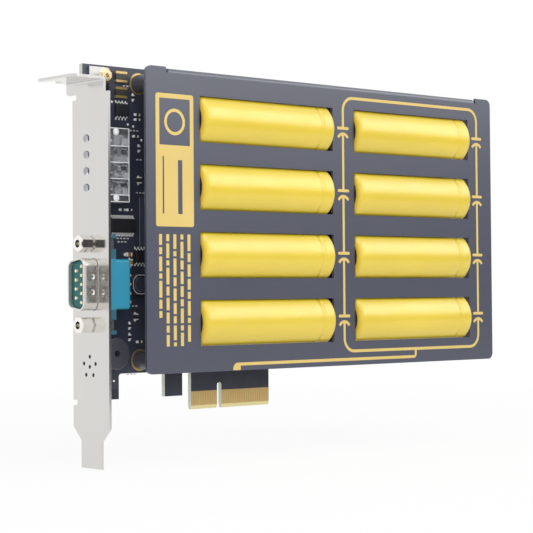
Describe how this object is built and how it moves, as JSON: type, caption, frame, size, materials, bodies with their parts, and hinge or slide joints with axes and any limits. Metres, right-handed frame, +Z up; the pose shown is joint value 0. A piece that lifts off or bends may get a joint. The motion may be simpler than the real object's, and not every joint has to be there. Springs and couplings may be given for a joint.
{
  "type": "supercapacitor backup module",
  "caption": "Full-height expansion card that stores backup energy in rows of sleeved capacitors behind a windowed sheet cover, with a slot bracket, serial port and edge contacts.",
  "frame": {"origin": "bottom edge of the contact tongue, at the middle of its key notch, on the board's component face", "axes": "+X from the slot bracket to the far end, +Z up away from the contacts, components towards -Y"},
  "size_m": [0.1956, 0.0239, 0.1255],
  "materials": {
    "bracket_nickel": "bright nickel plate over folded steel",
    "board_mask": "black solder mask over glass laminate",
    "contact_gold": "hard gold flash",
    "cover_paint": "satin blue-grey paint with pale gold print",
    "sleeve_yellow": "glossy shrunk film",
    "can_aluminium": "drawn aluminium",
    "tinned_wire": "tinned copper",
    "port_teal": "moulded teal plastic",
    "port_nickel": "nickel plate over drawn steel",
    "screw_steel": "zinc plated steel",
    "guide_clear": "clear moulded plastic",
    "lamp_white": "moulded lamp",
    "mould_black": "moulded epoxy",
    "buzzer_grey": "moulded dark grey plastic",
    "ferrite_grey": "pressed ferrite",
    "fuse_brown": "laminated polymer",
    "ceramic_tan": "fired ceramic",
    "standoff_black": "blackened brass",
    "rivet_brass": "yellow plated"
  },
  "bodies": {
    "root": {"bracket": "bracket_nickel", "bracket_rivets": "rivet_brass", "circuit_board": "board_mask", "edge_contacts": "contact_gold", "cover": "cover_paint", "standoffs": "standoff_black", "standoff_pads": "contact_gold", "standoff_screws": "screw_steel", "serial_shell": "port_nickel", "serial_housing": "port_teal", "serial_pins": "contact_gold", "jackscrews": "screw_steel", "jackscrew_nuts": "screw_steel", "light_pipe": "guide_clear", "indicator_leds": "lamp_white", "buzzer": "buzzer_grey", "buzzer_pins": "tinned_wire", "transceiver": "mould_black", "transceiver_leads": "tinned_wire", "supervisor": "mould_black", "supervisor_leads": "tinned_wire", "charger": "mould_black", "charger_leads": "tinned_wire", "inductor_shield": "ferrite_grey", "inductor_core": "ferrite_grey", "resettable_fuses": "fuse_brown", "fuse_terminals": "contact_gold", "chip_resistors": "mould_black", "ceramic_capacitors": "ceramic_tan", "chip_terminals": "tinned_wire", "capacitor_sleeve_1": "sleeve_yellow", "capacitor_can_1": "can_aluminium", "capacitor_leads_1": "tinned_wire", "capacitor_sleeve_2": "sleeve_yellow", "capacitor_can_2": "can_aluminium", "capacitor_leads_2": "tinned_wire", "capacitor_sleeve_3": "sleeve_yellow", "capacitor_can_3": "can_aluminium", "capacitor_leads_3": "tinned_wire", "capacitor_sleeve_4": "sleeve_yellow", "capacitor_can_4": "can_aluminium", "capacitor_leads_4": "tinned_wire", "capacitor_sleeve_5": "sleeve_yellow", "capacitor_can_5": "can_aluminium", "capacitor_leads_5": "tinned_wire", "capacitor_sleeve_6": "sleeve_yellow", "capacitor_can_6": "can_aluminium", "capacitor_leads_6": "tinned_wire", "capacitor_sleeve_7": "sleeve_yellow", "capacitor_can_7": "can_aluminium", "capacitor_leads_7": "tinned_wire", "capacitor_sleeve_8": "sleeve_yellow", "capacitor_can_8": "can_aluminium", "capacitor_leads_8": "tinned_wire"}
  },
  "joints": []
}
